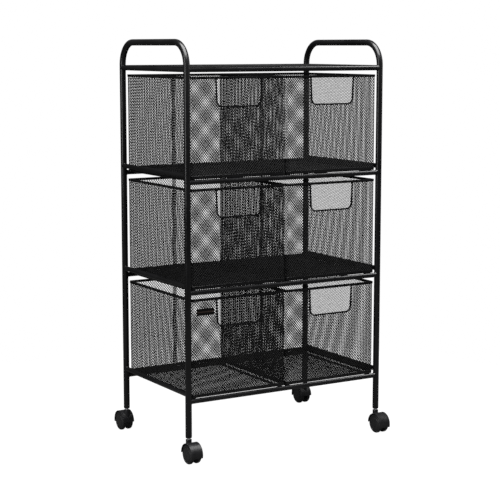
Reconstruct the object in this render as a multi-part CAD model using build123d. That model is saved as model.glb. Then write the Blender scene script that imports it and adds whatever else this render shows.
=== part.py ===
from build123d import *
import os

# Rolling utility cart: two inverted-U tube frames joined by rails, a mesh top shelf,
# three tiers of two mesh drawers, and four twin-wheel swivel casters.
# Millimetres. X runs across the cart (+X right), Y from front (-Y) to back, Z up from the floor.
# The origin is on the floor, under the middle of the cart.

# ---- overall frame ----
leg_spacing_x = 462.0          # leg axis to leg axis, left to right
leg_spacing_y = 280.0          # leg axis to leg axis, front to back
frame_height = 843.0           # floor to the outside of the handle tube
tier_count = 3
tier_pitch = 220.0             # cross rail to cross rail, and the last one to the top shelf
lowest_rail = 123.5            # floor to the axis of the lowest cross rail

# ---- tubes and wires ----
tube_diameter = 13.0
tube_wall = 1.0
handle_bend_radius = 47.0      # to the tube's centre line
rail_diameter = 10.0
rail_wall = 1.0
side_rail_rise = 14.0          # side rail axis above the cross rail axis of its tier
wire_diameter = 5.0
wire_inset = 8.0               # wire axis from the drawer's side wall
wire_proud = 0.3               # top of the wire above the top of the cross rails

# ---- mesh sheet and shelf panel ----
sheet_thickness = 0.8
panel_overhang = 2.0           # panel edge past the rail axes
panel_notch_gap = 1.0          # panel corner notch round a leg

# ---- drawers ----
drawers_per_tier = 2
drawer_side_gap = 2.5          # drawer wall to leg
drawer_middle_gap = 3.0        # drawer wall to drawer wall
drawer_setback = 1.0           # drawer front and back behind the cross rail axes
drawer_floor_gap = 0.3         # drawer floor above the runner wires
drawer_head_gap = 8.5          # rim to the underside of the rail above
drawer_corner_radius = 6.0     # wall corner in plan, outside
drawer_travel = 220.0          # how far a drawer pulls out
rim_height = 5.0
rim_width = 3.8                # across the wall
rim_proud = 1.0                # rim outside the wall's outer face
rim_round = 1.2
base_band_height = 7.0         # band round the foot of the walls
base_band_thickness = 1.0
base_band_round = 0.4

# ---- finger opening ----
opening_width_top = 103.0      # clear width under the rim
opening_width_bottom = 99.0    # clear width where the corner rounding starts
opening_depth = 53.0           # clear depth under the rim
opening_corner_radius = 10.0
border_width = 3.0             # pull frame band, in the plane of the wall
border_thickness = 2.4         # pull frame band, through the wall

# ---- label plate ----
label_width = 40.0
label_height = 14.0
label_thickness = 0.8
label_corner_radius = 1.0
label_from_side = 11.0         # plate from the drawer's left wall
label_from_rim = 15.0          # plate from the rim's underside

# ---- casters ----
wheel_diameter = 40.0
wheel_width = 9.5
wheel_edge_round = 3.0
wheel_side_play = 0.4          # wheel to centre web
caster_trail = 13.5            # axle behind the swivel axis
hood_web = 6.0                 # centre web between the wheels
hood_wheel_gap = 0.8           # fender to tread
hood_wall = 1.7
hood_tail_angle = 15.0         # fender below the axle, on the side away from the neck
hood_boss_radius = 7.5
neck_diameter = 12.0
neck_rise = 4.0                # top of the neck above the fender
stem_gap = 3.5                 # bare stem between the neck and the leg's end plug
stem_diameter = 7.0
stem_seat_depth = 7.0          # stem in the neck
stem_socket_depth = 26.0       # stem above the leg's end plug
stem_chamfer = 0.6
axle_diameter = 4.0
axle_end_cover = 1.8           # wheel's outer skin over the axle's end
running_clearance = 0.05       # radial, stem in socket and axle in wheel
socket_flange_height = 1.2
socket_flange_shrink = 0.3     # flange smaller than the leg, radially
socket_end_room = 3.0          # socket past the stem's top

# ---- derived sizes ----
half_x = leg_spacing_x / 2
half_y = leg_spacing_y / 2
leg_radius = tube_diameter / 2
leg_bore = leg_radius - tube_wall
rail_radius = rail_diameter / 2
wire_radius = wire_diameter / 2
rail_heights = [lowest_rail + tier_pitch * tier for tier in range(tier_count)]
top_rail = lowest_rail + tier_pitch * tier_count
handle_axis = frame_height - leg_radius
drawer_inner_span = leg_spacing_x - tube_diameter - 2 * drawer_side_gap
drawer_width = (drawer_inner_span - (drawers_per_tier - 1) * drawer_middle_gap) / drawers_per_tier
drawer_depth = leg_spacing_y - 2 * drawer_setback
drawer_base_rise = rail_radius + wire_proud + drawer_floor_gap
drawer_height = tier_pitch - rail_radius - drawer_head_gap - drawer_base_rise
wall_height = drawer_height - rim_height
hood_inner = wheel_diameter / 2 + hood_wheel_gap
hood_outer = hood_inner + hood_wall
axle_z = wheel_diameter / 2
neck_top = axle_z + hood_outer + neck_rise
leg_bottom = neck_top + stem_gap + socket_flange_height
wheel_inner_x = hood_web / 2 + wheel_side_play
wheel_outer_x = wheel_inner_x + wheel_width
axle_length = 2 * (wheel_outer_x - axle_end_cover)
socket_bottom = leg_bottom - socket_flange_height
cut_overshoot = 1.0            # a cutting tool past the face that it opens

os.makedirs("parts", exist_ok=True)


def save(node, solids):
    """Write one node; a list of solids becomes one group."""
    shape = Compound(children=solids) if isinstance(solids, list) else solids
    export_step(shape, "parts/" + node + ".step")


def bar(start, end, radius):
    """Solid round bar between two points."""
    axis = Vector(*end) - Vector(*start)
    return Solid.make_cylinder(radius, axis.length, Plane(origin=start, z_dir=axis))


def leg_cylinder(x, y, radius):
    """Full-height cylinder round one leg axis."""
    return bar((x, y, 0), (x, y, frame_height), radius)


def tube_rail(start, end):
    """Rail tube between two leg axes, its ends fish-mouthed to the legs."""
    rail = bar(start, end, rail_radius) - bar(start, end, rail_radius - rail_wall)
    for x, y, z in (start, end):
        rail -= leg_cylinder(x, y, leg_radius)
    return rail.solid()


# ---- side frames ----
def side_frame(x):
    """Inverted U of tube: front leg, handle, back leg."""
    centre_line = FilletPolyline(
        (x, -half_y, leg_bottom),
        (x, -half_y, handle_axis),
        (x, half_y, handle_axis),
        (x, half_y, leg_bottom),
        radius=handle_bend_radius,
    )
    end_plane = Plane(origin=(x, -half_y, leg_bottom), z_dir=(0, 0, 1))
    ring = end_plane * (Circle(leg_radius) - Circle(leg_bore))
    return sweep(ring, path=centre_line).solid()


save("left_frame", side_frame(-half_x))
save("right_frame", side_frame(half_x))


# ---- rails, wires and shelf panel ----
def cross_rails(z):
    """Front and back rail at one height."""
    return [tube_rail((-half_x, y, z), (half_x, y, z)) for y in (-half_y, half_y)]


def side_rails(z):
    """Left and right rail at one height."""
    return [tube_rail((x, -half_y, z), (x, half_y, z)) for x in (-half_x, half_x)]


def drawer_left_edges():
    """X of each drawer's left outer wall, left drawer first."""
    first = -drawer_inner_span / 2
    return [first + column * (drawer_width + drawer_middle_gap) for column in range(drawers_per_tier)]


def crossing_wire(x, z, rail_z):
    """Front-to-back wire from rail axis to rail axis, notched over or against the cross rails."""
    wire = bar((x, -half_y, z), (x, half_y, z), wire_radius)
    for y in (-half_y, half_y):
        wire -= bar((-half_x, y, rail_z), (half_x, y, rail_z), rail_radius)
    return wire.solid()


def runner_wires(rail_z):
    """Wires that the drawers slide on, one under each side wall, standing proud of the rails."""
    z = rail_z + rail_radius + wire_proud - wire_radius
    wires = []
    for left in drawer_left_edges():
        for x in (left + wire_inset, left + drawer_width - wire_inset):
            wires.append(crossing_wire(x, z, rail_z))
    return wires


def top_panel():
    """Flat shelf sheet on the top rails, notched at the legs."""
    sheet = Box(
        leg_spacing_x + 2 * panel_overhang,
        leg_spacing_y + 2 * panel_overhang,
        sheet_thickness,
        align=(Align.CENTER, Align.CENTER, Align.MIN),
    )
    sheet = Pos(0, 0, top_rail + rail_radius) * sheet
    for x in (-half_x, half_x):
        for y in (-half_y, half_y):
            sheet -= leg_cylinder(x, y, leg_radius + panel_notch_gap)
    return sheet.solid()


top_cross = cross_rails(top_rail)
top_side = []
for rail in side_rails(top_rail):
    for crossing in top_cross:
        rail = rail - crossing
    top_side.append(rail.solids().sort_by(SortBy.VOLUME)[-1])
save("top_cross_rails", top_cross)
save("top_side_rails", top_side)
save("top_mesh_panel", top_panel())

tier_names = ["lower", "middle", "upper"]
column_names = ["left", "right"]
for tier_name, rail_z in zip(tier_names, rail_heights):
    save(tier_name + "_cross_rails", cross_rails(rail_z))
    save(tier_name + "_side_rails", side_rails(rail_z + side_rail_rise))
    save(tier_name + "_runner_wires", runner_wires(rail_z))


# ---- drawers ----
def plan_prism(inset, z, height):
    """Rounded rectangle of the drawer's plan, shrunk by inset, centred, from z up."""
    outline = RectangleRounded(
        drawer_width - 2 * inset, drawer_depth - 2 * inset, drawer_corner_radius - inset
    )
    return Pos(0, 0, z) * extrude(outline, height)


def opening_prism(margin, thickness, extra_top):
    """Finger opening grown by margin, through the front wall, open at the top by extra_top."""
    top_half = opening_width_top / 2 + margin
    low_half = opening_width_bottom / 2 + margin
    low = -opening_depth - margin
    slope = (top_half - low_half) / (opening_depth - opening_corner_radius)
    foot_half = low_half - slope * (opening_corner_radius + margin)
    corners = [(-top_half, 0), (-foot_half, low), (foot_half, low), (top_half, 0)]
    if extra_top > 0:
        corners += [(top_half, extra_top), (-top_half, extra_top)]
    with BuildSketch() as outline:
        with BuildLine():
            Polyline(*corners, close=True)
        make_face()
        feet = outline.vertices().group_by(Axis.Y)[0]
        fillet(feet, opening_corner_radius + margin)
    wall_middle = -drawer_depth / 2 + sheet_thickness / 2
    place = Plane(origin=(0, wall_middle, wall_height), x_dir=(1, 0, 0), z_dir=(0, -1, 0))
    return place * extrude(outline.sketch, thickness / 2, both=True)


def basket():
    """Open mesh box: four walls and a floor, the finger opening cut from the front wall."""
    shell = plan_prism(0, 0, wall_height) - plan_prism(sheet_thickness, sheet_thickness, wall_height)
    return (shell - opening_prism(border_width, 2 * rim_width, rim_height)).solid()


def rim():
    """Band round the top edge of the walls."""
    ring = plan_prism(-rim_proud, wall_height, rim_height)
    ring -= plan_prism(rim_width - rim_proud, wall_height, rim_height)
    upper = ring.edges().group_by(Axis.Z)[-1]
    return fillet(upper, rim_round).solid()


def base_band():
    """Folded band round the foot of the walls, over their outer faces."""
    ring = plan_prism(-base_band_thickness, 0, base_band_height)
    outer = ring.edges().group_by(Axis.Z)
    ring = fillet(outer[0] + outer[-1], base_band_round)
    return (ring - plan_prism(0, -cut_overshoot, base_band_height + 2 * cut_overshoot)).solid()


def pull_frame():
    """Border band of the finger opening, ending against the rim."""
    band = opening_prism(border_width, border_thickness, 0)
    band -= opening_prism(0, 2 * border_thickness, cut_overshoot)
    return band.solid()


def label_plate():
    """Blank plate on the outside of the front wall."""
    x = -drawer_width / 2 + label_from_side + label_width / 2
    y = -drawer_depth / 2 - label_thickness / 2
    z = wall_height - label_from_rim - label_height / 2
    plate = Box(label_width, label_thickness, label_height)
    corners = plate.edges().filter_by(Axis.Y)
    return (Pos(x, y, z) * fillet(corners, label_corner_radius)).solid()


drawer_pieces = {
    "basket": basket(),
    "base_band": base_band(),
    "rim": rim(),
    "pull_frame": pull_frame(),
}
for tier_name, rail_z in zip(tier_names, rail_heights):
    for column_name, left in zip(column_names, drawer_left_edges()):
        place = Pos(left + drawer_width / 2, 0, rail_z + drawer_base_rise)
        for piece_name, piece in drawer_pieces.items():
            save(tier_name + "_" + column_name + "_" + piece_name, place * piece)
        if tier_name == "lower" and column_name == "left":
            save("label_plate", place * label_plate())


# ---- casters ----
# A caster is made at the origin, its swivel axis on Z, its wheels trailing towards -Y.


def x_bar(y, z, half_length, radius):
    """Round bar along X, centred on X = 0."""
    return bar((-half_length, y, z), (half_length, y, z), radius)


def caster_hood():
    """Plastic body: fender over both wheels, centre web and boss, neck for the stem."""
    y = -caster_trail
    fender = x_bar(y, axle_z, wheel_outer_x, hood_outer) - x_bar(y, axle_z, 2 * wheel_outer_x, hood_inner)
    reach = 3 * hood_outer
    under = Pos(0, y, axle_z) * Box(reach, reach, reach, align=(Align.CENTER, Align.MIN, Align.MAX))
    tail = Pos(0, y, axle_z) * Rot(hood_tail_angle, 0, 0)
    tail *= Box(reach, reach, reach, align=(Align.CENTER, Align.MAX, Align.MAX))
    fender = fender - under - tail
    web = x_bar(y, axle_z, hood_web / 2, hood_inner)
    web -= Pos(0, y, axle_z) * Box(reach, reach, reach, align=(Align.CENTER, Align.CENTER, Align.MAX))
    web += x_bar(y, axle_z, hood_web / 2, hood_boss_radius)
    neck = bar((0, 0, axle_z), (0, 0, neck_top), neck_diameter / 2)
    neck -= x_bar(y, axle_z, 2 * wheel_outer_x, hood_inner)
    body = fender + web + neck
    seat_bottom = neck_top - stem_seat_depth
    body -= bar((0, 0, seat_bottom), (0, 0, neck_top + cut_overshoot), stem_diameter / 2)
    body -= x_bar(y, axle_z, wheel_outer_x, axle_diameter / 2)
    return body.solid()


def caster_stem():
    """Plated pin, chamfered at the top."""
    top = leg_bottom + stem_socket_depth
    pin = bar((0, 0, neck_top - stem_seat_depth), (0, 0, top), stem_diameter / 2)
    return chamfer(pin.edges().group_by(Axis.Z)[-1], stem_chamfer).solid()


def caster_axle():
    """Plain steel pin through the boss into both wheels."""
    return x_bar(-caster_trail, axle_z, axle_length / 2, axle_diameter / 2)


def caster_wheel(side):
    """Wheel with rounded edges and a blind axle bore; side is -1 for left, 1 for right."""
    inner = side * wheel_inner_x
    outer = side * wheel_outer_x
    tread = bar((inner, 0, 0), (outer, 0, 0), wheel_diameter / 2)
    wheel = fillet(tread.edges(), wheel_edge_round)
    bore_end = side * (axle_length / 2 + running_clearance)
    wheel = wheel - bar((0, 0, 0), (bore_end, 0, 0), axle_diameter / 2 + running_clearance)
    return (Pos(0, -caster_trail, axle_z) * wheel).solid()


caster_pieces = {
    "stem": caster_stem(),
    "hood": caster_hood(),
    "axle": caster_axle(),
    "wheel_left": caster_wheel(-1),
    "wheel_right": caster_wheel(1),
}
# Front casters trail forward and back casters trail backward, mirrored front to back.
leg_places = {
    "front_left": (-half_x, -half_y),
    "front_right": (half_x, -half_y),
    "back_left": (-half_x, half_y),
    "back_right": (half_x, half_y),
}
for leg_name, (x, y) in leg_places.items():
    for piece_name, piece in caster_pieces.items():
        turned = mirror(piece, about=Plane.XZ) if y > 0 else piece
        save(leg_name + "_caster_" + piece_name, Pos(x, y, 0) * turned)


def stem_socket(x, y):
    """Plug pressed in a leg's end, with a flange under the tube and a blind bore for the stem."""
    top = leg_bottom + stem_socket_depth + socket_end_room
    plug = bar((x, y, leg_bottom), (x, y, top), leg_bore)
    flange = bar((x, y, socket_bottom), (x, y, leg_bottom), leg_radius - socket_flange_shrink)
    bore_top = top - socket_end_room / 2
    bore_radius = stem_diameter / 2 + running_clearance
    bore = bar((x, y, socket_bottom - cut_overshoot), (x, y, bore_top), bore_radius)
    return (plug + flange - bore).solid()


save("stem_sockets", [stem_socket(x, y) for x, y in leg_places.values()])
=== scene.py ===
import bpy
import bmesh
import math
from mathutils import Matrix, Vector


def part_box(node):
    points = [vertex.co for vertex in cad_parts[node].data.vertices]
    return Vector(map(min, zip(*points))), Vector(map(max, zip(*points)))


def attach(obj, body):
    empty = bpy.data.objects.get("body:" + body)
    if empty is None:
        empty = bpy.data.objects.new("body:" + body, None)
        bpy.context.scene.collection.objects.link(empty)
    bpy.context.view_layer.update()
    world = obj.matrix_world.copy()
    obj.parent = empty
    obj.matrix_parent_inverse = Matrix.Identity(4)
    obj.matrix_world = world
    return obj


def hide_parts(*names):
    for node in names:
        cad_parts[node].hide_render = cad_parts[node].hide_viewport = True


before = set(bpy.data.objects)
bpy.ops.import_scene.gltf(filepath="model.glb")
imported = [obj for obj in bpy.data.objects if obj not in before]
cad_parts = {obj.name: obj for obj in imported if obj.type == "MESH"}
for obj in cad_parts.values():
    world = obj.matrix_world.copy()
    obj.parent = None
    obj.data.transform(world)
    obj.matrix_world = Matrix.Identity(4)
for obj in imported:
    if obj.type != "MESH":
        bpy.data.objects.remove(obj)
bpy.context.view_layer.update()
print("frame loaded")

tierNames = ["lower", "middle", "upper"]
columnNames = ["left", "right"]
legNames = ["front_left", "front_right", "back_left", "back_right"]
cutTolerance = 0.000001  # for cuts, and for points that ought to be one


def deselectAll():
    if bpy.context.object and bpy.context.object.mode != "OBJECT":
        bpy.ops.object.mode_set(mode="OBJECT")
    bpy.ops.object.select_all(action="DESELECT")


def editMode():
    bpy.ops.object.mode_set(mode="EDIT")


def objectMode():
    bpy.ops.object.mode_set(mode="OBJECT")


def selectOnly(piece):
    deselectAll()
    piece.select_set(True)
    bpy.context.view_layer.objects.active = piece


def selectWhere(piece, kind, test):  # kind is "verts", "edges" or "faces"; called in edit mode
    bpy.ops.mesh.select_mode(type={"verts": "VERT", "edges": "EDGE", "faces": "FACE"}[kind])
    bpy.ops.mesh.select_all(action="DESELECT")
    mesh = bmesh.from_edit_mesh(piece.data)
    for item in getattr(mesh, kind):
        if test(item):
            item.select_set(True)
    mesh.select_flush_mode()
    bmesh.update_edit_mesh(piece.data)


def settle(piece, name):  # place goes in the mesh, and the object to the origin
    selectOnly(piece)
    bpy.ops.object.transform_apply(location=True, rotation=True, scale=True)
    piece.name = name
    piece.data.name = name
    return piece


def moveInto(piece, low, high, name):  # from the middle of the plan to its place
    piece.location = ((low.x + high.x) / 2, (low.y + high.y) / 2, low.z)
    return settle(piece, name)


def joinAll(pieces, name):
    deselectAll()
    for piece in pieces:
        piece.select_set(True)
    bpy.context.view_layer.objects.active = pieces[0]
    if len(pieces) > 1:
        bpy.ops.object.join()
    return settle(bpy.context.object, name)


def applyModifiers(piece):
    selectOnly(piece)
    for modifier in list(piece.modifiers):
        bpy.ops.object.modifier_apply(modifier=modifier.name)


def softenEdges(piece, width, segments, degrees=40):
    bevel = piece.modifiers.new("soften", "BEVEL")
    bevel.width = width
    bevel.segments = segments
    bevel.limit_method = "ANGLE"
    bevel.angle_limit = math.radians(degrees)
    applyModifiers(piece)


def shadeByAngle(piece, degrees=35):
    selectOnly(piece)
    bpy.ops.object.shade_smooth_by_angle(angle=math.radians(degrees))


def copyOf(piece, name, offset):
    twin = piece.copy()
    twin.data = piece.data.copy()
    bpy.context.scene.collection.objects.link(twin)
    twin.location = offset
    return settle(twin, name)


def finishPiece(piece, body, nodes, material):
    piece.data.materials.clear()
    piece.data.materials.append(material)
    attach(piece, body)
    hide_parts(*nodes)


def newMaterial(name):
    material = bpy.data.materials.new(name)
    material.use_nodes = True
    nodes = material.node_tree.nodes
    return material, nodes, material.node_tree.links, nodes["Principled BSDF"]


def noiseNode(nodes, links, scale, detail, stretch=(1, 1, 1)):
    place = nodes.new("ShaderNodeTexCoord")
    mapping = nodes.new("ShaderNodeMapping")
    noise = nodes.new("ShaderNodeTexNoise")
    mapping.inputs["Scale"].default_value = stretch
    noise.inputs["Scale"].default_value = scale
    noise.inputs["Detail"].default_value = detail
    links.new(place.outputs["Object"], mapping.inputs["Vector"])
    links.new(mapping.outputs["Vector"], noise.inputs["Vector"])
    return noise


def rangeNode(nodes, links, source, low, high, fromLow=0.3, fromHigh=0.7):
    spread = nodes.new("ShaderNodeMapRange")
    spread.inputs["From Min"].default_value = fromLow
    spread.inputs["From Max"].default_value = fromHigh
    spread.inputs["To Min"].default_value = low
    spread.inputs["To Max"].default_value = high
    links.new(source, spread.inputs["Value"])
    return spread.outputs["Result"]


def rampNode(nodes, links, source, stops):  # stops are pairs of a position and a colour
    ramp = nodes.new("ShaderNodeValToRGB")
    stops = list(stops)
    while len(ramp.color_ramp.elements) < len(stops):
        ramp.color_ramp.elements.new(0.5)
    for element, (position, colour) in zip(ramp.color_ramp.elements, stops):
        element.position = position
        element.color = (*colour, 1)
    links.new(source, ramp.inputs["Fac"])
    return ramp.outputs["Color"]


def bumpNode(nodes, links, source, strength, distance, below=None):
    bump = nodes.new("ShaderNodeBump")
    bump.inputs["Strength"].default_value = strength
    bump.inputs["Distance"].default_value = distance
    links.new(source, bump.inputs["Height"])
    if below:
        links.new(below, bump.inputs["Normal"])
    return bump.outputs["Normal"]


coatLook = {
    "deep": (0.0035, 0.0035, 0.0038),
    "dusty": (0.0065, 0.0065, 0.007),
    "dustSpread": (0.35, 0.7),
    "patchScale": 14,
    "roughLow": 0.2,
    "roughHigh": 0.32,
    "peelScale": 620,  # orange peel
    "peelDepth": 0.00002,
    "peelStrength": 0.5,
    "grainScale": 2600,
    "grainDepth": 0.00001,
    "grainStrength": 0.25,
    "shine": 0.42,  # specular level
}


def powderCoat():
    material, nodes, links, shader = newMaterial("blackPowderCoat")
    patches = noiseNode(nodes, links, coatLook["patchScale"], detail=4)
    peel = noiseNode(nodes, links, coatLook["peelScale"], detail=2)
    grain = noiseNode(nodes, links, coatLook["grainScale"], detail=1)
    stops = zip(coatLook["dustSpread"], (coatLook["deep"], coatLook["dusty"]))
    links.new(rampNode(nodes, links, patches.outputs["Fac"], stops), shader.inputs["Base Color"])
    rough = rangeNode(nodes, links, patches.outputs["Fac"], coatLook["roughLow"], coatLook["roughHigh"])
    links.new(rough, shader.inputs["Roughness"])
    fine = bumpNode(nodes, links, grain.outputs["Fac"], coatLook["grainStrength"], coatLook["grainDepth"])
    peelBump = bumpNode(nodes, links, peel.outputs["Fac"], coatLook["peelStrength"], coatLook["peelDepth"],
                        below=fine)
    links.new(peelBump, shader.inputs["Normal"])
    shader.inputs["Specular IOR Level"].default_value = coatLook["shine"]
    return material


meshCoatLook = {
    "deep": (0.0035, 0.0035, 0.0037),
    "dusty": (0.008, 0.008, 0.0083),
    "dustSpread": (0.3, 0.75),
    "patchScale": 22,
    "roughLow": 0.34,
    "roughHigh": 0.5,
    "beadScale": 1500,
    "beadDepth": 0.00004,
    "beadStrength": 0.4,
    "shine": 0.12,  # specular level, low so that the strands stay dark
}


def meshCoat():
    material, nodes, links, shader = newMaterial("blackMeshCoat")
    patches = noiseNode(nodes, links, meshCoatLook["patchScale"], detail=4)
    beads = noiseNode(nodes, links, meshCoatLook["beadScale"], detail=2)
    stops = zip(meshCoatLook["dustSpread"], (meshCoatLook["deep"], meshCoatLook["dusty"]))
    links.new(rampNode(nodes, links, patches.outputs["Fac"], stops), shader.inputs["Base Color"])
    roughLow, roughHigh = meshCoatLook["roughLow"], meshCoatLook["roughHigh"]
    rough = rangeNode(nodes, links, patches.outputs["Fac"], roughLow, roughHigh)
    links.new(rough, shader.inputs["Roughness"])
    beadBump = bumpNode(nodes, links, beads.outputs["Fac"], meshCoatLook["beadStrength"],
                        meshCoatLook["beadDepth"])
    links.new(beadBump, shader.inputs["Normal"])
    shader.inputs["Specular IOR Level"].default_value = meshCoatLook["shine"]
    return material


plasticLook = {
    "patchScale": 60,
    "grainScale": 3200,
    "grainDepth": 0.00002,
    "grainStrength": 0.35,
    "dustGain": 1.8,  # how much lighter the dusty patches are
    "dustLift": 0.001,
    "dustSpread": (0.35, 0.75),
    "shine": 0.42,  # specular level
    "hoodTint": (0.006, 0.006, 0.0065),
    "hoodRough": (0.3, 0.42),
    "wheelTint": (0.007, 0.007, 0.0075),
    "wheelRough": (0.38, 0.55),
    "socketTint": (0.006, 0.006, 0.0065),
    "socketRough": (0.4, 0.55),
}


def mouldedPlastic(name, use):  # use is "hood", "wheel" or "socket"
    material, nodes, links, shader = newMaterial(name)
    tint = plasticLook[use + "Tint"]
    roughLow, roughHigh = plasticLook[use + "Rough"]
    patches = noiseNode(nodes, links, plasticLook["patchScale"], detail=5)
    grain = noiseNode(nodes, links, plasticLook["grainScale"], detail=2)
    dusty = tuple(channel * plasticLook["dustGain"] + plasticLook["dustLift"] for channel in tint)
    stops = zip(plasticLook["dustSpread"], (tint, dusty))
    links.new(rampNode(nodes, links, patches.outputs["Fac"], stops), shader.inputs["Base Color"])
    rough = rangeNode(nodes, links, patches.outputs["Fac"], roughLow, roughHigh)
    links.new(rough, shader.inputs["Roughness"])
    grainBump = bumpNode(nodes, links, grain.outputs["Fac"], plasticLook["grainStrength"],
                         plasticLook["grainDepth"])
    links.new(grainBump, shader.inputs["Normal"])
    shader.inputs["Specular IOR Level"].default_value = plasticLook["shine"]
    return material


plateLook = {
    "dull": (0.62, 0.62, 0.64),
    "bright": (0.82, 0.82, 0.83),
    "cloudSpread": (0.3, 0.7),
    "cloudScale": 120,
    "turnedScale": 900,
    "turnedStretch": (1, 1, 6),  # fine rings round the upright stem
    "turnedDepth": 0.00001,
    "turnedStrength": 0.3,
    "roughLow": 0.16,
    "roughHigh": 0.3,
}


def platedSteel():
    material, nodes, links, shader = newMaterial("brightPlate")
    turned = noiseNode(nodes, links, plateLook["turnedScale"], detail=3, stretch=plateLook["turnedStretch"])
    clouds = noiseNode(nodes, links, plateLook["cloudScale"], detail=3)
    stops = zip(plateLook["cloudSpread"], (plateLook["dull"], plateLook["bright"]))
    links.new(rampNode(nodes, links, clouds.outputs["Fac"], stops), shader.inputs["Base Color"])
    rough = rangeNode(nodes, links, turned.outputs["Fac"], plateLook["roughLow"], plateLook["roughHigh"])
    links.new(rough, shader.inputs["Roughness"])
    turnedBump = bumpNode(nodes, links, turned.outputs["Fac"], plateLook["turnedStrength"],
                          plateLook["turnedDepth"])
    links.new(turnedBump, shader.inputs["Normal"])
    shader.inputs["Metallic"].default_value = 1.0
    return material


enamelLook = {
    "black": (0.003, 0.0026, 0.0026),
    "brown": (0.03, 0.021, 0.018),
    "stripe": (0.38, 0.46, 0.54, 0.62),  # where it fades in and out, as shares of the plate's height
    "cloudScale": 300,
    "cloudDepth": 0.00002,
    "cloudStrength": 0.2,
    "roughLow": 0.2,
    "roughHigh": 0.34,
    "shine": 0.3,  # specular level
}


def labelEnamel(node):  # near black, with a brown stripe along the middle
    low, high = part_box(node)
    material, nodes, links, shader = newMaterial("labelEnamel")
    place = nodes.new("ShaderNodeTexCoord")
    split = nodes.new("ShaderNodeSeparateXYZ")
    links.new(place.outputs["Object"], split.inputs["Vector"])
    up = rangeNode(nodes, links, split.outputs["Z"], 0, 1, low.z, high.z)
    black, brown = enamelLook["black"], enamelLook["brown"]
    stops = zip((0, *enamelLook["stripe"], 1), (black, black, brown, brown, black, black))
    links.new(rampNode(nodes, links, up, stops), shader.inputs["Base Color"])
    clouds = noiseNode(nodes, links, enamelLook["cloudScale"], detail=3)
    rough = rangeNode(nodes, links, clouds.outputs["Fac"], enamelLook["roughLow"], enamelLook["roughHigh"])
    links.new(rough, shader.inputs["Roughness"])
    cloudBump = bumpNode(nodes, links, clouds.outputs["Fac"], enamelLook["cloudStrength"],
                         enamelLook["cloudDepth"])
    links.new(cloudBump, shader.inputs["Normal"])
    shader.inputs["Specular IOR Level"].default_value = enamelLook["shine"]
    return material


coatMaterial = powderCoat()
netMaterial = meshCoat()
hoodMaterial = mouldedPlastic("casterHoodPlastic", "hood")
wheelMaterial = mouldedPlastic("casterWheelPlastic", "wheel")
socketMaterial = mouldedPlastic("legPlugPlastic", "socket")
labelMaterial = labelEnamel("label_plate")
plateMaterial = platedSteel()
print("materials made")

tubeLook = {
    "sides": 40,
    "handleBend": 0.047,  # radius of the bends, at the tube's centre line
    "bendSteps": 14,
    "footRoll": 0.0012,  # height of the rolled-in end of each leg
    "footShrink": 0.92,
    "mergeGap": 0.00001,
}


def sideFrame(node, name):
    low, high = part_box(node)
    radius = (high.x - low.x) / 2
    x = (low.x + high.x) / 2
    frontY, backY = low.y + radius, high.y - radius
    axisZ = high.z - radius
    handleBend = tubeLook["handleBend"]
    roll = tubeLook["footRoll"]
    straight = axisZ - handleBend - low.z - roll
    deselectAll()
    bpy.ops.mesh.primitive_circle_add(vertices=tubeLook["sides"], radius=radius * tubeLook["footShrink"],
                                      location=(x, frontY, low.z))
    piece = bpy.context.object
    grow = 1 / tubeLook["footShrink"]
    editMode()
    bpy.ops.mesh.extrude_region_move(TRANSFORM_OT_translate={"value": (0, 0, roll)})
    bpy.ops.transform.resize(value=(grow, grow, 1))
    bpy.ops.mesh.extrude_region_move(TRANSFORM_OT_translate={"value": (0, 0, straight)})
    bendZ = axisZ - handleBend
    quarter = math.pi / 2
    bpy.ops.mesh.spin(steps=tubeLook["bendSteps"], angle=quarter, axis=(1, 0, 0),
                      center=(x, frontY + handleBend, bendZ))
    bpy.ops.mesh.extrude_region_move(
        TRANSFORM_OT_translate={"value": (0, backY - frontY - 2 * handleBend, 0)})
    bpy.ops.mesh.spin(steps=tubeLook["bendSteps"], angle=quarter, axis=(1, 0, 0),
                      center=(x, backY - handleBend, bendZ))
    bpy.ops.mesh.extrude_region_move(TRANSFORM_OT_translate={"value": (0, 0, -straight)})
    bpy.ops.mesh.extrude_region_move(TRANSFORM_OT_translate={"value": (0, 0, -roll)})
    bpy.ops.transform.resize(value=(1 / grow, 1 / grow, 1))
    bpy.ops.mesh.select_all(action="SELECT")
    bpy.ops.mesh.remove_doubles(threshold=tubeLook["mergeGap"])
    bpy.ops.mesh.fill_holes(sides=0)
    bpy.ops.mesh.normals_make_consistent(inside=False)
    objectMode()
    settle(piece, name)
    shadeByAngle(piece)
    finishPiece(piece, "frame", [node], coatMaterial)


sideFrame("left_frame", "leftFrameTube")
sideFrame("right_frame", "rightFrameTube")
print("side frames made")

railLook = {
    "sides": 32,
    "beadRadius": 0.0060,
    "beadStart": 0.0003,  # the weld has its full height up to this distance from the leg
    "beadLength": 0.0016,
    "beadWaist": (0.6, 0.35),  # share of the bead's length, and how much of its height is left there
    "bury": 0.002,  # how deep the rail's end sits in the leg
}


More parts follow.
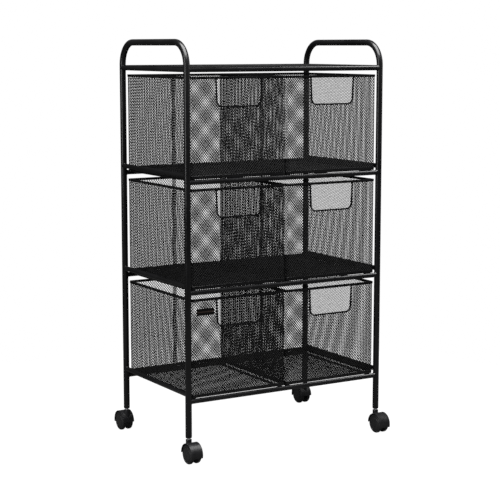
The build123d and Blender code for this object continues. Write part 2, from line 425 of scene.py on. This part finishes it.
def weldedRail(start, end, radius, legRadius):  # start and end are leg axes, and the ends flare into welds
    axis = (end - start).normalized()
    length = (end - start).length
    bead = railLook["beadRadius"]
    waistAt, waistHeight = railLook["beadWaist"]
    rings = [  # distance from the leg axis, radius
        (legRadius - railLook["bury"], bead),
        (legRadius + railLook["beadStart"], bead),
        (legRadius + waistAt * railLook["beadLength"], radius + waistHeight * (bead - radius)),
        (legRadius + railLook["beadLength"], radius),
    ]
    rings += [(length - distance, size) for distance, size in reversed(rings)]
    deselectAll()
    bpy.ops.mesh.primitive_circle_add(vertices=railLook["sides"], radius=rings[0][1],
                                      location=(0, 0, rings[0][0]))
    rail = bpy.context.object
    editMode()
    for (before, sizeBefore), (after, sizeAfter) in zip(rings, rings[1:]):
        bpy.ops.mesh.extrude_region_move(TRANSFORM_OT_translate={"value": (0, 0, after - before)})
        bpy.ops.transform.resize(value=(sizeAfter / sizeBefore, sizeAfter / sizeBefore, 1))
    bpy.ops.mesh.select_all(action="SELECT")
    bpy.ops.mesh.fill_holes(sides=0)
    bpy.ops.mesh.normals_make_consistent(inside=False)
    objectMode()
    rail.location = (0, 0, 0)
    for vertex in rail.data.vertices:  # the end rings follow the leg's round side
        place = vertex.co.z + rings[0][0]
        across = min(abs(vertex.co.x), legRadius)
        hug = legRadius - math.sqrt(legRadius ** 2 - across ** 2)
        if place < length / 2 and place > legRadius - railLook["bury"] / 2:
            place -= hug
        elif place > length / 2 and place < length - legRadius + railLook["bury"] / 2:
            place += hug
        vertex.co.z = place
    stand = Matrix.Rotation(-math.pi / 2, 4, "X")  # local Z turns to +Y
    runsAcross = abs(axis.x) > abs(axis.y)
    turn = Matrix.Rotation(-math.pi / 2, 4, "Z") if runsAcross else Matrix.Identity(4)
    rail.matrix_world = Matrix.Translation(start) @ turn @ stand
    return rail


def railPair(node, along, name):
    low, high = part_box(node)
    leftLow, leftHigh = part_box("left_frame")
    rightLow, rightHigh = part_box("right_frame")
    legRadius = (leftHigh.x - leftLow.x) / 2
    legX = [(leftLow.x + leftHigh.x) / 2, (rightLow.x + rightHigh.x) / 2]
    legY = [leftLow.y + legRadius, leftHigh.y - legRadius]
    radius = (high.z - low.z) / 2
    z = (low.z + high.z) / 2
    rails = []
    if along == "x":
        for y in legY:
            rails.append(weldedRail(Vector((legX[0], y, z)), Vector((legX[1], y, z)), radius, legRadius))
    else:
        for x in legX:
            rails.append(weldedRail(Vector((x, legY[0], z)), Vector((x, legY[1], z)), radius, legRadius))
    pair = joinAll(rails, name)
    shadeByAngle(pair, degrees=50)
    finishPiece(pair, "frame", [node], coatMaterial)


for level in ["top"] + tierNames:
    railPair(level + "_cross_rails", "x", level + "CrossRails")
    railPair(level + "_side_rails", "y", level + "SideRails")
print("rails made")

wireLook = {
    "sides": 20,
    "endRound": 0.0009,
    "inset": 0.008,  # from the drawer's side wall to the wire's axis
    "nugget": (0.0033, 0.0017, 0.0022),  # half sizes of a weld
    "nuggetAt": 1.9,  # from the rail's outer side, in rail radii
}


def roundWire(x, z, lowY, highY, radius):
    deselectAll()
    bpy.ops.mesh.primitive_cylinder_add(vertices=wireLook["sides"], radius=radius, depth=highY - lowY,
                                        location=(x, (lowY + highY) / 2, z), rotation=(math.pi / 2, 0, 0))
    wire = bpy.context.object
    softenEdges(wire, wireLook["endRound"], segments=3, degrees=60)
    return wire


def weldNugget(x, y, z):
    deselectAll()
    bpy.ops.mesh.primitive_uv_sphere_add(segments=12, ring_count=8, radius=1, location=(x, y, z))
    nugget = bpy.context.object
    nugget.scale = wireLook["nugget"]
    return nugget


def wireSet(node, railNode, wireXs, name):
    low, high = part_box(node)
    railLow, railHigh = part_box(railNode)
    radius = (high.z - low.z) / 2
    railRadius = (railHigh.z - railLow.z) / 2
    z = (low.z + high.z) / 2
    weldIn = wireLook["nuggetAt"] * railRadius
    parts = []
    for x in wireXs:
        parts.append(roundWire(x, z, low.y, high.y, radius))
        for y in (railLow.y + weldIn, railHigh.y - weldIn):
            parts.append(weldNugget(x, y, z))
    wires = joinAll(parts, name)
    shadeByAngle(wires, degrees=50)
    finishPiece(wires, "frame", [node], coatMaterial)


for tier in tierNames:
    wireXs = []
    for column in columnNames:
        wallLow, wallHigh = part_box(tier + "_" + column + "_basket")
        wireXs += [wallLow.x + wireLook["inset"], wallHigh.x - wireLook["inset"]]
    wireSet(tier + "_runner_wires", tier + "_cross_rails", wireXs, tier + "RunnerWires")
print("wires made")

netLook = {
    "cellWidth": 0.0055,
    "cellHeight": 0.0062,
    "strand": 0.00138,  # width
    "wallRidge": 0.00055,  # half thickness in the walls
    "flatRidge": 0.00042,  # half thickness in the floors and the top
    "mergeGap": 0.000002,
}


def diamondSheet(width, height):  # flat sheet in XY, centred, cut into diamonds by a poked grid
    columns = round(width / netLook["cellWidth"])
    rows = round(height / netLook["cellHeight"])
    deselectAll()
    bpy.ops.mesh.primitive_grid_add(x_subdivisions=columns, y_subdivisions=rows, size=1)
    sheet = bpy.context.object
    editMode()
    bpy.ops.transform.resize(value=(width, height, 1))
    bpy.ops.mesh.mark_seam()
    bpy.ops.mesh.poke()
    selectWhere(sheet, "edges", lambda edge: edge.seam and not edge.is_boundary)
    bpy.ops.mesh.dissolve_edges(use_verts=False)
    bpy.ops.mesh.select_all(action="SELECT")
    bpy.ops.mesh.mark_seam(clear=True)
    return sheet


# called in edit mode: region selects what is cut, and the outline runs counterclockwise
def cutOutline(outline, region):
    for (x1, y1), (x2, y2) in zip(outline, outline[1:] + outline[:1]):
        region()
        bpy.ops.mesh.bisect(plane_co=(x1, y1, 0), plane_no=(y2 - y1, x1 - x2, 0), threshold=cutTolerance)


def insideOutline(outline, x, y):
    for (x1, y1), (x2, y2) in zip(outline, outline[1:] + outline[:1]):
        if (x2 - x1) * (y - y1) - (y2 - y1) * (x - x1) < 0:
            return False
    return True


def flatNet(width, height):  # open strands with no thickness, left in edit mode
    sheet = diamondSheet(width, height)
    bpy.ops.mesh.select_mode(type="FACE")
    bpy.ops.mesh.select_all(action="SELECT")
    bpy.ops.mesh.inset(thickness=netLook["strand"] / 2, use_individual=True)
    bpy.ops.mesh.delete(type="FACE")
    return sheet


def roundNet(sheet, ridge):  # gives flat strands their ridges, so each is a closed bar
    selectWhere(sheet, "verts", lambda vertex: not vertex.is_boundary)
    bpy.ops.transform.translate(value=(0, 0, ridge))
    bpy.ops.mesh.select_all(action="SELECT")
    bpy.ops.mesh.duplicate()
    bpy.ops.transform.resize(value=(1, 1, -1), center_override=(0, 0, 0))
    bpy.ops.mesh.flip_normals()
    bpy.ops.mesh.select_all(action="SELECT")
    bpy.ops.mesh.remove_doubles(threshold=netLook["mergeGap"])
    objectMode()


basketLook = {
    "wallThick": 0.0008,
    "wallRadius": 0.0056,  # of the upright corners, at the middle of the wall
    "pathSteps": 48,
    "seamLap": 0.008,
    "seamGap": 0.00045,  # half the distance between the lapped ends
    "intoRim": 0.001,
    "floorTrim": 1.02,  # corner cuts of the floor, in wall radii
    "floorCutAngles": (22.5, 45, 67.5),
}
arcHandle = 0.5523  # Bezier handle of a quarter circle, as a share of its radius


def wallPath(halfX, halfY):  # the line that a wall strip is bent along, from the back seam and round to it
    radius = basketLook["wallRadius"]
    lap, gap = basketLook["seamLap"] / 2, basketLook["seamGap"]
    stops = [Vector((lap, halfY - gap, 0))]
    bends = [None]
    for turn, (sideX, sideY) in zip((90, 180, 270, 0), ((-1, 1), (-1, -1), (1, -1), (1, 1))):
        centre = Vector((sideX * (halfX - radius), sideY * (halfY - radius), 0))
        for angle in (turn, turn + 90):
            arm = math.radians(angle)
            stops.append(centre + radius * Vector((math.cos(arm), math.sin(arm), 0)))
            bends.append(Vector((-math.sin(arm), math.cos(arm), 0)) * arcHandle * radius)
    stops.append(Vector((-lap, halfY + gap, 0)))
    bends.append(None)
    curve = bpy.data.curves.new("wallPath", "CURVE")
    curve.dimensions = "3D"
    curve.twist_mode = "Z_UP"
    curve.resolution_u = basketLook["pathSteps"]
    spline = curve.splines.new("BEZIER")
    spline.bezier_points.add(len(stops) - 1)
    for index, (point, stop) in enumerate(zip(spline.bezier_points, stops)):
        point.handle_left_type = point.handle_right_type = "FREE"
        point.co = stop
        previous = stops[max(index - 1, 0)]
        following = stops[min(index + 1, len(stops) - 1)]
        arrives = bends[index] is not None and index % 2 == 0  # end of a corner's arc
        leaves = bends[index] is not None and index % 2 == 1
        point.handle_left = stop - bends[index] if arrives else stop - (stop - previous) / 3
        point.handle_right = stop + bends[index] if leaves else stop + (following - stop) / 3
    path = bpy.data.objects.new("wallPath", curve)
    bpy.context.scene.collection.objects.link(path)
    arc = math.pi / 2 * radius
    frontCentre = lap + 2 * (halfX - radius) + 2 * (halfY - radius) + 2 * arc
    total = 2 * lap + 4 * (halfX - radius) + 4 * (halfY - radius) + 4 * arc
    return path, frontCentre, total


openingLook = {
    "band": 0.003,  # width of the pull frame
    "slope": 2 / 43,  # lean of the sides
    "cornerRadius": 0.010,
    "cutAt": 0.0015,  # the mesh ends under the frame, this far out from the opening
    "steps": 5,
    "above": 0.02,  # how far the cut runs up past the wall's top
    "cutReach": 0.006,  # only strands this near to the opening are cut
}


def openingOutline(low, high, grow, above):  # pull opening seen from the front, counterclockwise, top at 0
    slope = openingLook["slope"]
    half = (high.x - low.x) / 2 - openingLook["band"] + grow
    depth = high.z - low.z - openingLook["band"] + grow
    radius = openingLook["cornerRadius"] + grow
    lean = math.atan(slope)
    sweep = math.pi / 2 - lean
    down = Vector((math.sin(lean), -math.cos(lean)))
    inward = Vector((math.cos(lean), math.sin(lean)))
    corner = Vector((slope * depth - half, -depth))
    centre = corner - down * radius * math.tan(sweep / 2) + inward * radius
    arc = []
    for step in range(openingLook["steps"] + 1):
        turn = math.pi + lean + sweep * step / openingLook["steps"]
        arc.append((centre.x + radius * math.cos(turn), centre.y + radius * math.sin(turn)))
    mirrored = [(-x, y) for x, y in reversed(arc)]
    return [(-half - slope * above, above)] + arc + mirrored + [(half + slope * above, above)]


def basketWalls(node, pullNode, name):
    low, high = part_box(node)
    pullLow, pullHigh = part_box(pullNode)
    half = basketLook["wallThick"] / 2
    intoRim = basketLook["intoRim"]
    path, frontCentre, total = wallPath((high.x - low.x) / 2 - half, (high.y - low.y) / 2 - half)
    height = high.z - low.z + intoRim
    net = flatNet(total, height)
    outline = openingOutline(pullLow, pullHigh, openingLook["cutAt"], openingLook["above"])
    outline = [(x + frontCentre - total / 2, y + height / 2 - intoRim) for x, y in outline]
    reach = openingLook["cutReach"]
    leftEnd, rightEnd = min(x for x, y in outline) - reach, max(x for x, y in outline) + reach
    bottom = min(y for x, y in outline) - reach

    def nearOpening():
        selectWhere(net, "faces", lambda face: leftEnd < face.calc_center_median().x < rightEnd
                    and face.calc_center_median().y > bottom)

    cutOutline(outline, nearOpening)
    selectWhere(net, "faces", lambda face: insideOutline(outline, *face.calc_center_median().xy))
    bpy.ops.mesh.delete(type="FACE")
    roundNet(net, netLook["wallRidge"])
    net.location = (total / 2, 0, height / 2)
    net.rotation_euler = (math.pi / 2, 0, 0)
    settle(net, name)
    bend = net.modifiers.new("bend", "CURVE")
    bend.object = path
    bend.deform_axis = "POS_X"
    applyModifiers(net)
    bpy.data.objects.remove(path)
    return moveInto(net, low, high, name)


def basketFloor(node, name):
    low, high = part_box(node)
    half = basketLook["wallThick"] / 2
    halfX, halfY = (high.x - low.x) / 2 - half, (high.y - low.y) / 2 - half
    radius = basketLook["wallRadius"]
    net = flatNet(2 * halfX, 2 * halfY)
    for sideX, sideY in ((1, 1), (1, -1), (-1, 1), (-1, -1)):
        for angle in basketLook["floorCutAngles"]:
            arm = Vector((sideX * math.cos(math.radians(angle)), sideY * math.sin(math.radians(angle)), 0))
            centre = Vector((sideX * (halfX - radius), sideY * (halfY - radius), 0))
            bpy.ops.mesh.select_all(action="SELECT")
            bpy.ops.mesh.bisect(plane_co=centre + arm * radius * basketLook["floorTrim"], plane_no=arm,
                                clear_outer=True, threshold=cutTolerance)
    roundNet(net, netLook["flatRidge"])
    net.location = ((low.x + high.x) / 2, (low.y + high.y) / 2, low.z + half)
    return settle(net, name)


firstBasket = "lower_left"
walls = basketWalls(firstBasket + "_basket", firstBasket + "_pull_frame", "lowerLeftBasketWalls")
floorNet = basketFloor(firstBasket + "_basket", "lowerLeftBasketFloor")


# a pattern is the first drawer's piece, the end of its copies' names and the end of the CAD node's name
def fillDrawers(patterns, material):
    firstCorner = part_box(firstBasket + "_basket")[0]
    for tier in tierNames:
        for column in columnNames:
            drawer = tier + "_" + column
            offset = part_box(drawer + "_basket")[0] - firstCorner
            for pattern, title, ending in patterns:
                piece = pattern
                if drawer != firstBasket:
                    piece = copyOf(pattern, tier + column.capitalize() + title, offset)
                finishPiece(piece, drawer + "_drawer", [drawer + ending], material)


basketPatterns = [(walls, "BasketWalls", "_basket"), (floorNet, "BasketFloor", "_basket")]
fillDrawers(basketPatterns, netMaterial)
print("baskets made", len(walls.data.polygons), len(floorNet.data.polygons))


bandLook = {
    "cornerRadius": 0.006,  # of the wall, outside
    "cornerSteps": 9,
    "rimWidth": 0.0038,
    "rimRound": 0.0012,
    "channelWall": 0.0007,
    "channelDepth": 0.0016,
    "footWidth": 0.0017,
    "footBead": 0.0018,  # height of the rolled edge along the band's top
    "footSetBack": 0.00035,
    "footRound": 0.00045,
    "seam": (0.0012, 0.0003),  # half width and half thickness of the weld at the back
    "seamSink": 0.0001,  # how far the weld's middle lies inside the rim
    "underside": 0.0001,  # faces up to this height are the rim's underside
}


def roundedOutline(halfX, halfY, radius, steps, z):  # a filled face, left in edit mode
    deselectAll()
    bpy.ops.mesh.primitive_plane_add(size=2, location=(0, 0, z))
    plane = bpy.context.object
    editMode()
    bpy.ops.transform.resize(value=(halfX, halfY, 1))
    bpy.ops.mesh.bevel(offset=radius, affect="VERTICES", segments=steps, profile=0.5, clamp_overlap=False)
    return plane


def ringBand(halfX, halfY, radius, width, z, height):  # closed band, left in edit mode
    band = roundedOutline(halfX, halfY, radius, bandLook["cornerSteps"], z)
    bpy.ops.mesh.inset(thickness=width)
    bpy.ops.mesh.delete(type="FACE")
    bpy.ops.mesh.select_all(action="SELECT")
    bpy.ops.mesh.extrude_region_move(TRANSFORM_OT_translate={"value": (0, 0, height)})
    bpy.ops.mesh.select_all(action="SELECT")
    bpy.ops.mesh.normals_make_consistent(inside=False)
    return band


def weldSeam(y, z, height):
    half, proud = bandLook["seam"]
    deselectAll()
    bpy.ops.mesh.primitive_cube_add(size=2, location=(0, y, z + height / 2))
    seam = bpy.context.object
    seam.scale = (half, proud, height / 2)
    settle(seam, "seam")
    softenEdges(seam, proud, segments=3)
    return seam


def drawerRim(node, wallNode, name):
    low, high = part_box(node)
    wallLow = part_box(wallNode)[0]
    halfX, halfY, height = (high.x - low.x) / 2, (high.y - low.y) / 2, high.z - low.z
    proud = wallLow.x - low.x
    radius = bandLook["cornerRadius"] + proud
    rim = ringBand(halfX, halfY, radius, bandLook["rimWidth"], z=0, height=height)
    selectWhere(rim, "faces", lambda face: face.calc_center_median().z < bandLook["underside"])
    bpy.ops.mesh.inset(thickness=bandLook["channelWall"])
    bpy.ops.mesh.extrude_region_move(TRANSFORM_OT_translate={"value": (0, 0, bandLook["channelDepth"])})
    objectMode()
    softenEdges(rim, bandLook["rimRound"], segments=4, degrees=50)
    seam = weldSeam(halfY - bandLook["seamSink"], bandLook["rimRound"], height - 2 * bandLook["rimRound"])
    rim = joinAll([rim, seam], name)
    shadeByAngle(rim, degrees=40)
    return moveInto(rim, low, high, name)


def footBand(node, name):
    low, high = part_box(node)
    halfX, halfY, height = (high.x - low.x) / 2, (high.y - low.y) / 2, high.z - low.z
    radius = bandLook["cornerRadius"] + bandLook["footWidth"] - basketLook["wallThick"]
    back = bandLook["footSetBack"]
    webHeight = height - bandLook["footBead"] / 2  # it ends inside the bead
    web = ringBand(halfX - back, halfY - back, radius - back, bandLook["footWidth"] - back, z=0,
                   height=webHeight)
    objectMode()
    softenEdges(web, bandLook["footRound"], segments=2, degrees=50)
    bead = ringBand(halfX, halfY, radius, bandLook["footWidth"], z=height - bandLook["footBead"],
                    height=bandLook["footBead"])
    objectMode()
    softenEdges(bead, bandLook["footRound"], segments=3, degrees=50)
    band = joinAll([web, bead], name)
    shadeByAngle(band, degrees=40)
    return moveInto(band, low, high, name)


rim = drawerRim(firstBasket + "_rim", firstBasket + "_basket", "lowerLeftRim")
foot = footBand(firstBasket + "_base_band", "lowerLeftFootBand")
fillDrawers([(rim, "Rim", "_rim"), (foot, "FootBand", "_base_band")], coatMaterial)
print("rims and foot bands made")

labelLook = {
    "cornerRadius": 0.001,
    "edgeRound": 0.00018,
    "frame": 0.0011,  # width of the raised edge round the sunk face
    "sink": 0.00025,
    "rivetInset": 0.0026,
    "rivetRadius": 0.0009,
    "rivetRise": 0.4,  # of its radius
}


def labelPlate(node, name):
    low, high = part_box(node)
    width, height, thick = high.x - low.x, high.z - low.z, high.y - low.y
    plate = roundedOutline(width / 2, height / 2, labelLook["cornerRadius"], steps=4, z=0)
    bpy.ops.mesh.select_all(action="SELECT")
    bpy.ops.mesh.extrude_region_move(TRANSFORM_OT_translate={"value": (0, 0, thick)})
    bpy.ops.mesh.inset(thickness=labelLook["frame"])
    bpy.ops.mesh.extrude_region_move(TRANSFORM_OT_translate={"value": (0, 0, -labelLook["sink"])})
    bpy.ops.mesh.select_all(action="SELECT")
    bpy.ops.mesh.normals_make_consistent(inside=False)
    objectMode()
    softenEdges(plate, labelLook["edgeRound"], segments=2, degrees=50)
    parts = [plate]
    for side in (-1, 1):
        deselectAll()
        bpy.ops.mesh.primitive_uv_sphere_add(segments=16, ring_count=8, radius=labelLook["rivetRadius"],
                                             location=(side * (width / 2 - labelLook["rivetInset"]), 0, 0))
        rivet = bpy.context.object
        rivet.scale = (1, 1, labelLook["rivetRise"])
        rivet.location.z = thick - labelLook["sink"]
        parts.append(rivet)
    plate = joinAll(parts, name)
    plate.rotation_euler = (math.pi / 2, 0, 0)
    plate.location = ((low.x + high.x) / 2, high.y, (low.z + high.z) / 2)
    settle(plate, name)
    shadeByAngle(plate, degrees=40)
    finishPiece(plate, firstBasket + "_drawer", [node], labelMaterial)


labelPlate("label_plate", "blankLabelPlate")
print("label made")

wheelLook = {
    "sides": 72,
    "profile": [  # depth from the inner face and radius in millimetres, from the blind bore outwards
        (7.6, 2.06), (0.3, 2.06), (0.0, 2.4), (0.0, 5.2), (0.4, 5.7), (2.0, 6.2), (2.4, 7.0), (2.4, 14.6),
        (2.0, 15.4), (0.6, 16.0), (0.2, 16.6), (0.35, 17.6), (0.9, 18.6), (1.7, 19.4), (2.7, 19.9),
        (3.6, 20.0), (4.3, 20.0), (4.5, 19.75), (4.9, 19.75), (5.1, 20.0), (5.8, 20.0), (6.8, 19.85),
        (7.8, 19.3), (8.6, 18.4), (9.1, 17.3), (9.25, 16.6), (9.15, 16.1), (8.6, 15.8), (8.35, 15.3),
        (8.35, 14.2), (8.6, 13.7), (9.1, 13.4), (9.3, 12.8), (9.42, 9.0), (9.48, 5.0), (9.3, 4.5),
        (9.3, 4.1), (9.5, 3.6), (9.5, 1.2),
    ],
}


def casterWheel(node, side, name):  # side is -1 for the left wheel of a pair and 1 for the right one
    low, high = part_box(node)
    inner = high.x if side < 0 else low.x
    rings = [(depth / 1000, radius / 1000) for depth, radius in wheelLook["profile"]]
    deselectAll()
    bpy.ops.mesh.primitive_circle_add(vertices=wheelLook["sides"], radius=rings[0][1], location=(0, 0, 0),
                                      fill_type="NGON")
    wheel = bpy.context.object
    editMode()
    bpy.ops.mesh.select_all(action="SELECT")
    bpy.ops.transform.translate(value=(0, 0, rings[0][0]))
    for (before, sizeBefore), (after, sizeAfter) in zip(rings, rings[1:]):
        bpy.ops.mesh.extrude_region_move(TRANSFORM_OT_translate={"value": (0, 0, after - before)})
        bpy.ops.transform.resize(value=(sizeAfter / sizeBefore, sizeAfter / sizeBefore, 1))
    bpy.ops.mesh.select_all(action="SELECT")
    bpy.ops.mesh.remove_doubles(threshold=cutTolerance)
    bpy.ops.mesh.normals_make_consistent(inside=False)
    objectMode()
    wheel.rotation_euler = (0, side * math.pi / 2, 0)
    wheel.location = (inner, (low.y + high.y) / 2, (low.z + high.z) / 2)
    settle(wheel, name)
    shadeByAngle(wheel, degrees=38)
    return wheel


wheels = {}
for leg in legNames:
    for side, hand in ((-1, "left"), (1, "right")):
        node = leg + "_caster_wheel_" + hand
        firstWord, *words = node.split("_")
        name = firstWord + "".join(word.capitalize() for word in words)
        if hand not in wheels:
            wheels[hand] = (casterWheel(node, side, name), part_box(node)[0])
            wheel = wheels[hand][0]
        else:
            wheel = copyOf(wheels[hand][0], name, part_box(node)[0] - wheels[hand][1])
        finishPiece(wheel, node, [node], wheelMaterial)
print("wheels made", len(wheel.data.polygons))


panelLook = {
    "hemWidth": 0.005,
    "hemThick": 0.0009,
    "hemRound": 0.0003,
    "legGap": 0.001,  # clearance round each leg
    "notchSteps": 16,
    "cutReach": 0.014,  # only strands this near to a leg's axis are cut
}


def topPanel(node, name):
    low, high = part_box(node)
    halfX, halfY = (high.x - low.x) / 2, (high.y - low.y) / 2
    leftLow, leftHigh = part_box("left_frame")
    legRadius = (leftHigh.x - leftLow.x) / 2
    notch = legRadius + panelLook["legGap"]
    reach = panelLook["cutReach"]
    legX, legY = -(leftLow.x + legRadius), -(leftLow.y + legRadius)
    steps = panelLook["notchSteps"]
    net = flatNet(2 * halfX, 2 * halfY)
    for sideX in (1, -1):
        for sideY in (1, -1):
            centre = Vector((sideX * legX, sideY * legY))
            ring = []
            for step in range(steps):
                arm = 2 * math.pi * (step + 0.5) / steps
                ring.append((centre.x + notch * math.cos(arm), centre.y + notch * math.sin(arm)))

            def nearLeg():
                selectWhere(net, "faces", lambda face: abs(face.calc_center_median().x - centre.x) < reach
                            and abs(face.calc_center_median().y - centre.y) < reach)

            cutOutline(ring, nearLeg)
            selectWhere(net, "faces", lambda face: insideOutline(ring, *face.calc_center_median().xy))
            bpy.ops.mesh.delete(type="FACE")
    roundNet(net, netLook["flatRidge"])
    settle(net, name)
    bars = []
    for side in (1, -1):
        for lengthwise in (True, False):
            span = (legX if lengthwise else legY) - notch
            size = (span, panelLook["hemWidth"] / 2) if lengthwise else (panelLook["hemWidth"] / 2, span)
            edge = (halfY if lengthwise else halfX) - panelLook["hemWidth"] / 2
            place = (0, side * edge) if lengthwise else (side * edge, 0)
            deselectAll()
            bpy.ops.mesh.primitive_cube_add(size=2, location=(*place, 0))
            bar = bpy.context.object
            bar.scale = (*size, panelLook["hemThick"] / 2)
            settle(bar, "hemBar")
            softenEdges(bar, panelLook["hemRound"], segments=2)
            bars.append(bar)
    panel = joinAll([net] + bars, name)
    panel.location = ((low.x + high.x) / 2, (low.y + high.y) / 2, (low.z + high.z) / 2)
    return settle(panel, name)


panel = topPanel("top_mesh_panel", "topMeshPanel")
finishPiece(panel, "frame", ["top_mesh_panel"], netMaterial)
print("top panel made", len(panel.data.polygons))


def coatNode(node, material):
    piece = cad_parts[node]
    if not piece.data.materials:
        piece.data.materials.append(material)
    for index in range(len(piece.data.materials)):
        piece.data.materials[index] = material


for tier in tierNames:
    for column in columnNames:
        coatNode(tier + "_" + column + "_pull_frame", coatMaterial)
coatNode("stem_sockets", socketMaterial)
for leg in legNames:
    coatNode(leg + "_caster_stem", plateMaterial)
    coatNode(leg + "_caster_axle", plateMaterial)
    coatNode(leg + "_caster_hood", hoodMaterial)

cameraLook = {
    "place": (-1.5758, -2.6061, 0.8298),
    "azimuth": 31.114,  # angles in degrees, this one to the right of straight back
    "down": 8.091,
    "roll": 0.008,
    "lens": 103.5,
    "sensor": 36,
    "farthest": 50,
}


def setCamera():
    azimuth = math.radians(cameraLook["azimuth"])
    down = math.radians(cameraLook["down"])
    roll = math.radians(cameraLook["roll"])
    forward = Vector((math.sin(azimuth) * math.cos(down), math.cos(azimuth) * math.cos(down),
                      -math.sin(down)))
    level = Vector((math.cos(azimuth), -math.sin(azimuth), 0))
    upright = level.cross(forward)
    right = level * math.cos(roll) + upright * math.sin(roll)
    up = right.cross(forward)
    data = bpy.data.cameras.new("camera")
    data.lens = cameraLook["lens"]
    data.sensor_width = cameraLook["sensor"]
    data.clip_end = cameraLook["farthest"]
    camera = bpy.data.objects.new("camera", data)
    bpy.context.scene.collection.objects.link(camera)
    turn = Matrix((right, up, -forward)).transposed()
    camera.matrix_world = Matrix.Translation(cameraLook["place"]) @ turn.to_4x4()
    bpy.context.scene.camera = camera


setCamera()

studioLook = {
    "floorTint": (0.06, 0.06, 0.06),  # dark, so that little light reaches the legs from below
    "floorRough": 0.9,
    "floorGlow": 1.0,  # what the camera sees of the floor
    "floorRadius": 0.9,
    "backdrop": 1.0,  # what the camera sees behind the cart
    "fill": 0.06,  # dim room light, so that the black finish stays deep
    "lights": [  # name, place, aim, width, height, power
        ("overheadPanel", (-0.2, -0.7, 2.7), (0, 0, 0.45), 2.6, 2.2, 220),
        ("leftPanel", (-2.9, -0.5, 1.0), (0, 0, 0.5), 0.9, 2.2, 30),
        ("rightPanel", (2.6, -1.0, 1.4), (0, 0, 0.6), 0.5, 2.0, 8),
    ],
}


def paleGlow(nodes, links, seen):  # white where it is seen directly, and dim as a light on the cart
    path = nodes.new("ShaderNodeLightPath")
    return rangeNode(nodes, links, path.outputs["Is Camera Ray"], studioLook["fill"], seen, 0, 1)


def setStudio():
    world = bpy.data.worlds.new("studio")
    bpy.context.scene.world = world
    world.use_nodes = True
    nodes, links = world.node_tree.nodes, world.node_tree.links
    background = nodes["Background"]
    background.inputs["Color"].default_value = (1, 1, 1, 1)
    links.new(paleGlow(nodes, links, studioLook["backdrop"]), background.inputs["Strength"])
    bpy.context.scene.view_settings.view_transform = "Standard"
    bpy.context.scene.cycles.use_denoising = False  # denoising smears the fine mesh
    deselectAll()
    bpy.ops.mesh.primitive_circle_add(radius=studioLook["floorRadius"], vertices=96, fill_type="NGON")
    ground = bpy.context.object
    ground.name = "studioFloor"
    material, nodes, links, shader = newMaterial("paleFloor")
    shader.inputs["Base Color"].default_value = (*studioLook["floorTint"], 1)
    shader.inputs["Roughness"].default_value = studioLook["floorRough"]
    shader.inputs["Specular IOR Level"].default_value = 0
    shader.inputs["Emission Color"].default_value = (1, 1, 1, 1)
    links.new(paleGlow(nodes, links, studioLook["floorGlow"]), shader.inputs["Emission Strength"])
    ground.data.materials.append(material)
    for name, place, aim, width, height, power in studioLook["lights"]:
        light = bpy.data.lights.new(name, "AREA")
        light.shape = "RECTANGLE"
        light.size = width
        light.size_y = height
        light.energy = power
        lamp = bpy.data.objects.new(name, light)
        bpy.context.scene.collection.objects.link(lamp)
        lamp.location = place
        lamp.rotation_euler = (Vector(aim) - Vector(place)).to_track_quat("-Z", "Y").to_euler()


setStudio()
print("camera and studio set")
